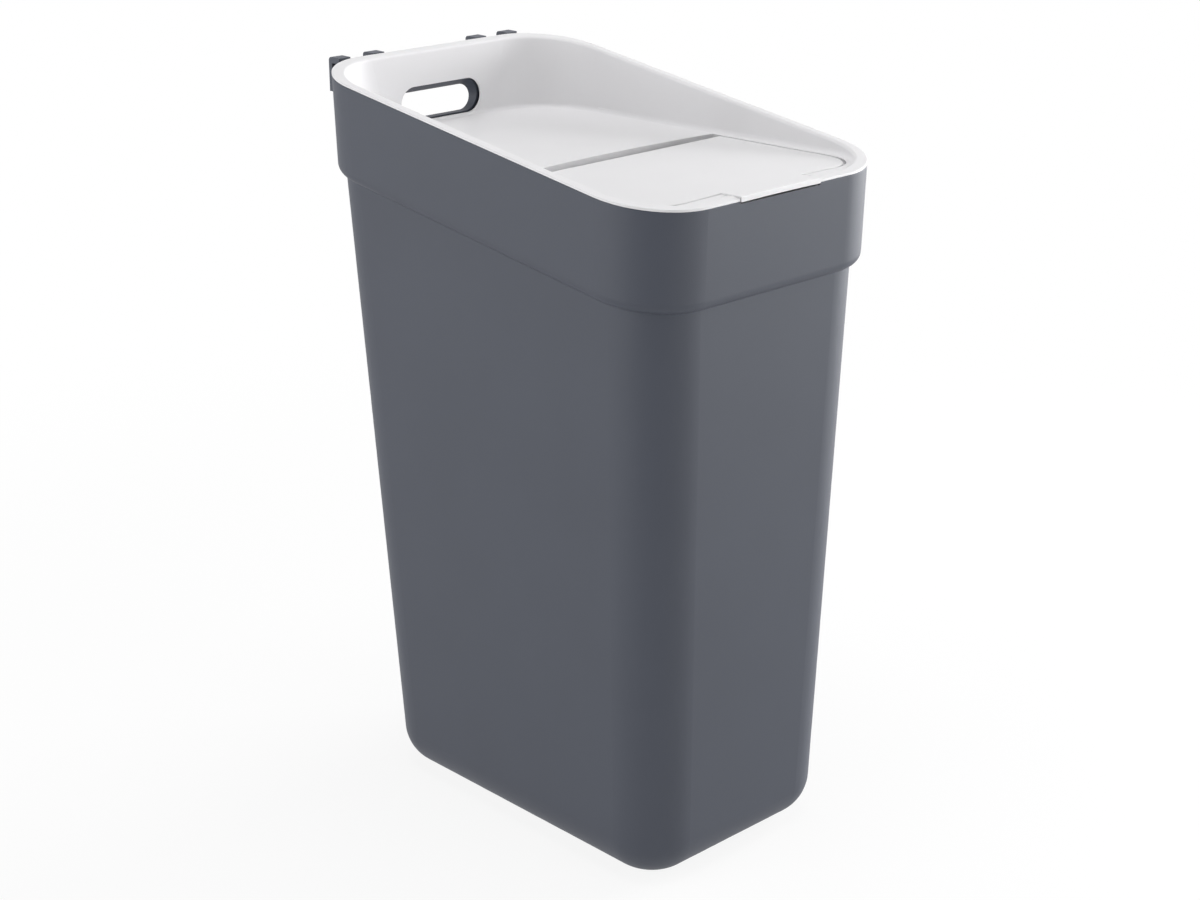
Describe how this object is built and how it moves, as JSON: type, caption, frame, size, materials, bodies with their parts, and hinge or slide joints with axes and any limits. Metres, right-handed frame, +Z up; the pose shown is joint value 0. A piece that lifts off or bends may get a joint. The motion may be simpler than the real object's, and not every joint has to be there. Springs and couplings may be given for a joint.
{
  "type": "trash can",
  "caption": "Slim tapered kitchen bin with a sloping outset collar, a drop-in lid frame with a sunken tray and grip opening, and a flip-up flap with a finger tab.",
  "frame": {"origin": "on the floor, under the middle of the outline seen from above (hanging hooks included)", "axes": "+Z up, -Y towards the front with the finger tab, +Y towards the back with the grip opening and the hooks, +X to the right seen from the front"},
  "size_m": [0.229, 0.35, 0.524],
  "materials": {
    "tub_plastic": "fine matt texture, dark blue-grey polypropylene",
    "lid_plastic": "satin light grey polypropylene",
    "flap_plastic": "satin light grey polypropylene"
  },
  "bodies": {
    "tub": {"tub": "tub_plastic"},
    "lid_frame": {"lid_frame": "lid_plastic"},
    "flap": {"flap": "flap_plastic"}
  },
  "joints": [
    {"name": "lid_lift", "type": "slide", "parent": "tub", "child": "lid_frame", "axis": [0, 0, 1], "range_m": [0, 0.1]},
    {"name": "flap_hinge", "type": "hinge", "parent": "lid_frame", "child": "flap", "pos_m": [0, -0.02995, 0.46818], "axis": [-1, 0, 0], "range_deg": [0, 110]}
  ]
}
